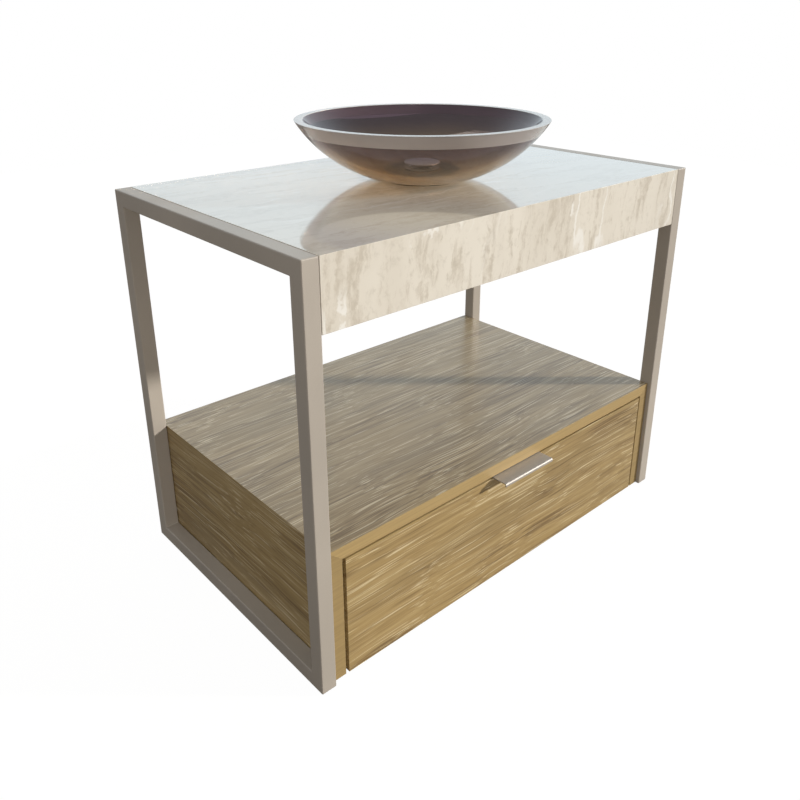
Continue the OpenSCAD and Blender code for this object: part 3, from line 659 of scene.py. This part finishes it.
# ------------------------------------------------------------------ pieces
class WASHSTAND_OT_side_frames(bpy.types.Operator):
    """Model the two welded side frames of square tube"""
    bl_idname = "washstand.side_frames"
    bl_label = "Side frames"

    def execute(self, context):
        coat = powder_coat(context.scene.washstand_metals.coat)
        for side in ("left", "right"):
            members = [f"{side}_{m}" for m in ("front_post", "rear_post", "top_rail", "bottom_rail")]
            lowest = Vector(map(min, *(low(m) for m in members)))
            highest = Vector(map(max, *(high(m) for m in members)))
            tube = highest.x - lowest.x
            obj = block(f"{side}_side_frame", lowest, highest)
            bpy.ops.object.mode_set(mode="EDIT")
            pick_faces(lambda face: abs(face.normal.x) > 0.9)
            bpy.ops.mesh.inset(thickness=tube, depth=0)
            bpy.ops.mesh.bridge_edge_loops()
            face_outward()
            bpy.ops.object.mode_set(mode="OBJECT")
            ease(obj, context.scene.washstand_sizes.tube_edge, 5)
            fit_out(obj, "stand", coat, members)
        for node in ("left_stone_ledge", "right_stone_ledge", "front_cross_bar", "rear_cross_bar"):
            name = node.replace("stone_", "").replace("cross_bar", "bar") + "_steel"
            obj = eased_copy(node, name, 0.6 * MM)
            fit_out(obj, "stand", coat, [node])
        obj = eased_copy("wall_brackets", "bent_wall_brackets", 0.5 * MM)
        fit_out(obj, "stand", coat, ["wall_brackets"])
        return {"FINISHED"}


class WASHSTAND_OT_stone(bpy.types.Operator):
    """Model the mitred stone top and apron"""
    bl_idname = "washstand.stone"
    bl_label = "Stone counter"

    def execute(self, context):
        colours = context.scene.washstand_stone
        edge = context.scene.washstand_sizes.stone_edge
        lie = (0.1, 0, math.radians(4))
        level = polished_stone("Stone top", colours, lie, depth=0.7, gloss=1.6)
        top = eased_copy("stone_top", "polished_stone_top", edge)
        fit_out(top, "stand", level, ["stone_top"])
        stand_up = (0, math.radians(86), 0)
        # Painted light: the apron is a lighter copy of the top's stone, for the brighter light on the
        # upright face.
        upright = polished_stone("Stone apron", colours, stand_up, depth=1.25, gloss=1.35, light=1.06)
        apron = eased_copy("stone_apron", "polished_stone_apron", edge)
        fit_out(apron, "stand", upright, ["stone_apron"])
        # The honed arris is lightened like the apron: painted light.
        honed = polished_stone("Honed arris", colours, stand_up, 1.25, 1.35, 1.06, honed=True)
        nearly_square = 0.999
        for slab in (top, apron):
            slab.data.materials.append(honed)
            for face in slab.data.polygons:
                if max(abs(part) for part in face.normal) < nearly_square:
                    face.material_index = 1
        return {"FINISHED"}


class WASHSTAND_OT_cabinet(bpy.types.Operator):
    """Model the oak cabinet's panels and their edge banding"""
    bl_idname = "washstand.cabinet"
    bl_label = "Oak cabinet"

    def execute(self, context):
        colours = context.scene.washstand_oak
        edge = context.scene.washstand_sizes.panel_edge
        # Painted reflection: the shelf's oak is greyed to stand for the pale sky mirrored on its top.
        across = oak("Oak across", colours, painted_sheen_grey=0.22)
        along = oak("Oak along", colours, (0, 0, math.radians(90)), (0.4, 0, 0))
        panels = {"cabinet_top_panel": across, "cabinet_left_panel": along,
                  "cabinet_right_panel": along}
        for node, material in panels.items():
            obj = eased_copy(node, node.replace("panel", "veneered"), edge)
            fit_out(obj, "stand", material, [node])
        level = edge_banding(colours.banding)
        # Painted shade: the upright banding is darkened to stand for the posts' shadow falling on the
        # stiles.
        upright = edge_banding(tinted(colours.banding, 0.82), (0, math.radians(90), 0))
        for node, material in (("top_edge_band", level), ("left_edge_band", upright),
                               ("right_edge_band", upright)):
            obj = eased_copy(node, node.replace("edge_band", "banding"), edge * 0.6)
            fit_out(obj, "stand", material, [node])
        for node, layers in (("cabinet_bottom_panel", 2), ("cabinet_back_panel", 1)):
            obj = eased_copy(node, node.replace("panel", "ply"), edge)
            fit_out(obj, "stand", birch(f"Birch {node}", colours.birch, layers), [node])
        return {"FINISHED"}


class WASHSTAND_OT_drawer(bpy.types.Operator):
    """Model the drawer's oak front and its birch box"""
    bl_idname = "washstand.drawer"
    bl_label = "Drawer"

    def execute(self, context):
        colours = context.scene.washstand_oak
        edge = context.scene.washstand_sizes.panel_edge
        obj = eased_copy("drawer_front", "veneered_drawer_front", edge)
        fit_out(obj, "drawer", oak("Oak drawer", colours, shift=(0.2, 0.3, 0.1)),
                ["drawer_front"])
        boards = {"drawer_left_side": 0, "drawer_right_side": 0, "drawer_inner_front": 1,
                  "drawer_back": 1, "drawer_base": 2}
        for node, layers in boards.items():
            obj = eased_copy(node, node + "_board", edge * 1.2)
            fit_out(obj, "drawer", birch(f"Birch {node}", colours.birch, layers), [node])
        return {"FINISHED"}


class WASHSTAND_OT_edge_pull(bpy.types.Operator):
    """Model the bent edge pull on the drawer"""
    bl_idname = "washstand.edge_pull"
    bl_label = "Edge pull"

    def execute(self, context):
        lowest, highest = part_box("edge_pull")
        sheet = bend = 2 * MM
        top = highest.z - sheet / 2
        nose = lowest.y + sheet / 2
        corner = arc((-nose - bend, top - bend), bend, 90, 0, 8)
        outline = [(-highest.y, top)] + corner + [(-nose, lowest.z)]
        obj = outline_object("bent_edge_pull", [(lowest.x, -y, z) for y, z in outline])
        bpy.ops.mesh.select_all(action="SELECT")
        length = highest.x - lowest.x
        bpy.ops.mesh.extrude_region_move(TRANSFORM_OT_translate={"value": (length, 0, 0)})
        face_outward()
        bpy.ops.object.mode_set(mode="OBJECT")
        modify(obj, "SOLIDIFY", thickness=sheet, offset=0, use_even_offset=True)
        ease(obj, context.scene.washstand_sizes.sheet_edge, 3, 40)
        nickel = metal("Satin nickel", context.scene.washstand_metals.nickel, 0.60, 0.08)
        fit_out(obj, "drawer", nickel, ["edge_pull"])
        dress("edge_pull_screws", nickel)
        return {"FINISHED"}


class WASHSTAND_OT_bowl(bpy.types.Operator):
    """Model the thick glass bowl, its polished rim and the satin band below it, both pale partly as
    painted highlight and painted reflection
    """
    bl_idname = "washstand.bowl"
    bl_label = "Glass bowl"

    def execute(self, context):
        lowest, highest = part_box("glass_bowl")
        centre = middle("glass_bowl")
        outer = (highest.x - lowest.x) / 2
        base, glass, hole, bulge = 75 * MM, 13 * MM, 22.5 * MM, 19 * MM
        seat_r, seat_z, floor_z = 34 * MM, lowest.z + 11 * MM, lowest.z + 13 * MM
        rise = highest.z - lowest.z
        run = outer - base
        chord = math.hypot(run, rise)
        radius = (chord ** 2 / 4 + bulge ** 2) / (2 * bulge)
        middle_r = (outer + base) / 2 - rise / chord * (radius - bulge)
        middle_z = lowest.z + rise / 2 + run / chord * (radius - bulge)

        def side(r, z_from, z_to):
            start = math.degrees(math.asin((z_from - middle_z) / r))
            end = math.degrees(math.asin((z_to - middle_z) / r))
            return arc((middle_r, middle_z), r, start, end, 28)

        outline = [(hole, seat_z), (hole, lowest.z)]
        outline += side(radius, lowest.z, highest.z)
        outline += side(radius - glass, highest.z, floor_z)
        outline += [(base - 4 * MM, floor_z), (seat_r, seat_z), (hole, seat_z)]
        obj = lathe("smoked_glass_bowl", (centre.x, centre.y), outline, 180)
        ease(obj, context.scene.washstand_sizes.rim_edge, 4, 35)
        colours = context.scene.washstand_bowl
        # Painted light: the glass is amber up to here, for the warm lit stone seen through its foot.
        glow_top, smoke_foot = lowest.z + 30 * MM, lowest.z + 80 * MM
        glass_look = smoked_glass(colours, (glow_top, smoke_foot))
        fit_out(obj, "stand", glass_look, ["glass_bowl"])
        # Painted highlight: the rim's near-white colour partly stands for the bright line of light along
        # the rim.
        obj.data.materials.append(ground_glass("Polished rim", colours, colours.rim, 0.5, 0.18))
        # Painted reflection: the band's pale colour partly stands for the light reflected inside the wall
        # under the rim.
        obj.data.materials.append(ground_glass("Satin band", colours, colours.band, 0.38, 0.10))
        rim_foot = highest.z - context.scene.washstand_sizes.rim_edge * 0.4
        band_foot = highest.z - colours.band_height
        for face in obj.data.polygons:
            outward = face.normal.dot(face.center - Vector((centre.x, centre.y, face.center.z)))
            if face.center.z > rim_foot:
                face.material_index = 1
            elif face.center.z > band_foot and outward > 0:
                face.material_index = 2
        # The black gasket under the bowl's foot is a seal and also stands for the dark contact shadow
        # there: partly painted shade.
        dress("bowl_gasket", moulded("Seal rubber", colours.rubber, 0.55, 0.2))
        return {"FINISHED"}


class WASHSTAND_OT_waste(bpy.types.Operator):
    """Model the click-clack waste, its seals and the tailpiece below the stone"""
    bl_idname = "washstand.waste"
    bl_label = "Waste"

    def execute(self, context):
        chrome = metal("Chrome", context.scene.washstand_metals.chrome, 0.06)
        satin = metal("Satin chrome", context.scene.washstand_metals.chrome, 0.55)
        rubber = bpy.data.materials["Seal rubber"]
        nylon = moulded("Nylon", context.scene.washstand_bowl.nylon, 0.45, 0.1)
        centre = middle("stopper_cap")
        axis = (centre.x, centre.y)
        lowest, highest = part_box("stopper_cap")
        r = (highest.x - lowest.x) / 2
        edge = 1.2 * MM
        dome = 2.9 * MM
        brow = highest.z - dome
        rim = arc((r - edge, lowest.z + edge), edge, -90, 0, 6)
        rim += arc((r - edge, brow - edge), edge, 0, 80, 6)
        crown = (r * r + dome * dome) / (2 * dome)
        rings = [r * (0.9 - 0.9 * i / 14) for i in range(15)]
        top = [(ring, highest.z - crown + math.sqrt(crown ** 2 - ring ** 2)) for ring in rings]
        cap = lathe("domed_stopper_cap", axis, [(0, lowest.z)] + rim + top, 96)
        settle(cap)
        fit_out(cap, "stopper", satin, ["stopper_cap"])
        lowest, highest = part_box("waste_body")
        flange = (highest.x - lowest.x) / 2
        thread, bore, seat = 20.5 * MM, 16.5 * MM, 27 * MM
        under = highest.z - 2.5 * MM
        bevel, throat = 2.6 * MM, 4 * MM
        round_edge = arc((flange - edge, under + edge), edge, -90, 55, 8)
        outline = [(bore, lowest.z), (thread, lowest.z), (thread, under)] + round_edge
        outline += [(flange - bevel, highest.z), (seat, highest.z), (bore, under - throat)]
        outline += [(bore, lowest.z)]
        body = lathe("flanged_waste", axis, outline, 96)
        settle(body)
        fit_out(body, "stand", chrome, ["waste_body"])
        for node, name, width in (("waste_lock_nut", "hex_lock_nut", 0.8),
                                  ("tailpiece_nut", "ribbed_union_nut", 0.6)):
            obj = eased_copy(node, name, width * MM)
            fit_out(obj, "stand", chrome, [node])
        for node in ("tailpiece", "click_cartridge", "stopper_stem"):
            dress(node, chrome)
        for node in ("waste_flange_gasket", "waste_rubber_washer", "tailpiece_seal", "stopper_seal",
                     "stone_bedding_pads"):
            dress(node, rubber)
        for node in ("waste_slip_washer", "foot_glides"):
            dress(node, nylon)
        return {"FINISHED"}


class WASHSTAND_OT_slides(bpy.types.Operator):
    """Plate the drawer slides, screws, bolts and spring"""
    bl_idname = "washstand.slides"
    bl_label = "Slides and fixings"

    def execute(self, context):
        zinc = zinc_plate(context.scene.washstand_metals.zinc)
        for node in ("left_slide_outer", "left_slide_middle", "left_slide_inner", "right_slide_outer",
                     "right_slide_middle", "right_slide_inner", "slide_cabinet_screws",
                     "slide_drawer_screws", "drawer_front_screws", "frame_bolts", "frame_inserts"):
            dress(node, zinc)
        spring = eased_copy("stopper_spring", "coil_spring", 0.12 * MM, 1)
        spring.data.materials.append(zinc)
        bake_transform(spring)
        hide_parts("stopper_spring")
        dress("cabinet_dowels", birch("Birch dowels", context.scene.washstand_oak.birch, 0))
        return {"FINISHED"}


# ------------------------------------------------------------------ stage
def lamp(name, toward, energy, angle, colour):
    """A sun that shines from the direction given."""
    data = bpy.data.lights.new(name, "SUN")
    data.energy = energy
    data.angle = math.radians(angle)
    data.color = colour
    obj = bpy.data.objects.new(name, data)
    obj.rotation_mode = "QUATERNION"
    obj.rotation_quaternion = Vector(toward).to_track_quat("Z", "Y")
    bpy.context.collection.objects.link(obj)


def studio_world(strength):
    """A sky that is bright and cool behind the washstand, dim in front, and white to the camera."""
    world = bpy.data.worlds.new("Studio")
    bpy.context.scene.world = world
    world.use_nodes = True
    tree = world.node_tree
    tree.nodes.clear()
    place = tree.nodes.new("ShaderNodeTexCoord").outputs["Generated"]
    behind = put(tree, "VectorMath", {0: place, 1: (0.69, 0.72, 0.0)},
                 operation="DOT_PRODUCT").outputs["Value"]
    height = put(tree, "SeparateXYZ", {0: place}).outputs[2]
    panel = sums(tree, "MULTIPLY", remap(tree, behind, -0.1, 0.75), remap(tree, height, 0.95, 0.45))
    above = remap(tree, height, -0.02, 0.06)
    tone = blend(tree, remap(tree, height, 0.0, 0.9), (0.20, 0.18, 0.165, 1), (0.40, 0.40, 0.40, 1))
    tone = blend(tree, panel, tone, blend(tree, above, (0.44, 0.38, 0.41, 1), (0.82, 0.93, 1.0, 1)))
    lit = put(tree, "Background", {"Color": tone, "Strength": strength})
    seen = put(tree, "Background", {"Color": WHITE, "Strength": 1.0})
    ray = tree.nodes.new("ShaderNodeLightPath").outputs["Is Camera Ray"]
    both = put(tree, "MixShader", {0: ray, 1: lit.outputs[0], 2: seen.outputs[0]})
    end = tree.nodes.new("ShaderNodeOutputWorld")
    tree.links.new(both.outputs[0], end.inputs["Surface"])


def pale_floor(colour):
    """A plain floor that the camera sees as nearly white, with faint shadows."""
    material, tree, shader, _ = surface("Pale floor")
    feed(tree, shader, {"Base Color": colour, "Roughness": 0.8})
    glow = put(tree, "Emission", {"Color": WHITE, "Strength": 1.22})
    ray = tree.nodes.new("ShaderNodeLightPath").outputs["Is Camera Ray"]
    share = sums(tree, "MULTIPLY", ray, 0.8)
    both = put(tree, "MixShader", {0: share, 1: shader.outputs[0], 2: glow.outputs[0]})
    tree.links.new(both.outputs[0], tree.nodes["Material Output"].inputs["Surface"])
    return material


def place_camera(location, azimuth, elevation):
    """The camera, looking back along the given azimuth and elevation."""
    data = bpy.data.cameras.new("camera")
    data.lens = 35.5
    data.sensor_width = 36
    data.shift_x = -0.0065
    data.shift_y = -0.1001
    camera = bpy.data.objects.new("camera", data)
    level = math.cos(elevation)
    back = Vector((math.sin(azimuth) * level, -math.cos(azimuth) * level, math.sin(elevation)))
    camera.location = location
    camera.rotation_mode = "QUATERNION"
    camera.rotation_quaternion = (-back).to_track_quat("-Z", "Y")
    bpy.context.collection.objects.link(camera)
    bpy.context.scene.camera = camera


class WASHSTAND_OT_stage(bpy.types.Operator):
    """Set up the pale floor, the soft studio light and the camera"""
    bl_idname = "washstand.stage"
    bl_label = "Stage"

    def execute(self, context):
        stage = context.scene.washstand_stage
        only(None)
        room = 9
        bpy.ops.mesh.primitive_plane_add(size=room, location=(0, 0, CAD_BOX[0].z))
        floor = bpy.context.object
        floor.name = "floor"
        floor.data.materials.append(pale_floor(stage.floor))
        studio_world(stage.sky)
        lamp("key", (0.70, -0.63, 0.30), stage.key, 3.0, (1.0, 0.965, 0.91))
        lamp("fill", (-0.58, -0.74, 0.33), stage.fill, 6.0, (1.0, 0.97, 0.93))
        place_camera((-0.9860, -1.0478, 1.0049), math.radians(-41.99), math.radians(21.56))
        context.scene.view_settings.view_transform = "Standard"
        return {"FINISHED"}


class WASHSTAND_PT_panel(bpy.types.Panel):
    """The washstand's pieces and settings in the 3D view's sidebar"""
    bl_label = "Washstand"
    bl_space_type = "VIEW_3D"
    bl_region_type = "UI"
    bl_category = "Washstand"

    def draw(self, context):
        for operator in OPERATORS:
            self.layout.operator(operator.bl_idname)
        for name, group_class in SETTINGS.items():
            box = self.layout.box()
            box.label(text=group_class.__name__.replace("Washstand", ""))
            for prop in group_class.__annotations__:
                box.prop(getattr(context.scene, name), prop)


OPERATORS = (
    WASHSTAND_OT_side_frames, WASHSTAND_OT_stone, WASHSTAND_OT_cabinet, WASHSTAND_OT_drawer,
    WASHSTAND_OT_edge_pull, WASHSTAND_OT_bowl, WASHSTAND_OT_waste, WASHSTAND_OT_slides,
    WASHSTAND_OT_stage,
)


def register():
    for item in (*SETTINGS.values(), *OPERATORS, WASHSTAND_PT_panel):
        bpy.utils.register_class(item)
    for name, group_class in SETTINGS.items():
        setattr(bpy.types.Scene, name, bpy.props.PointerProperty(type=group_class))


def unregister():
    for name in SETTINGS:
        delattr(bpy.types.Scene, name)
    for item in reversed((*SETTINGS.values(), *OPERATORS, WASHSTAND_PT_panel)):
        bpy.utils.unregister_class(item)


def main():
    register()
    for operator in OPERATORS:
        family, name = operator.bl_idname.split(".")
        getattr(getattr(bpy.ops, family), name)()


if __name__ == "__main__":
    main()
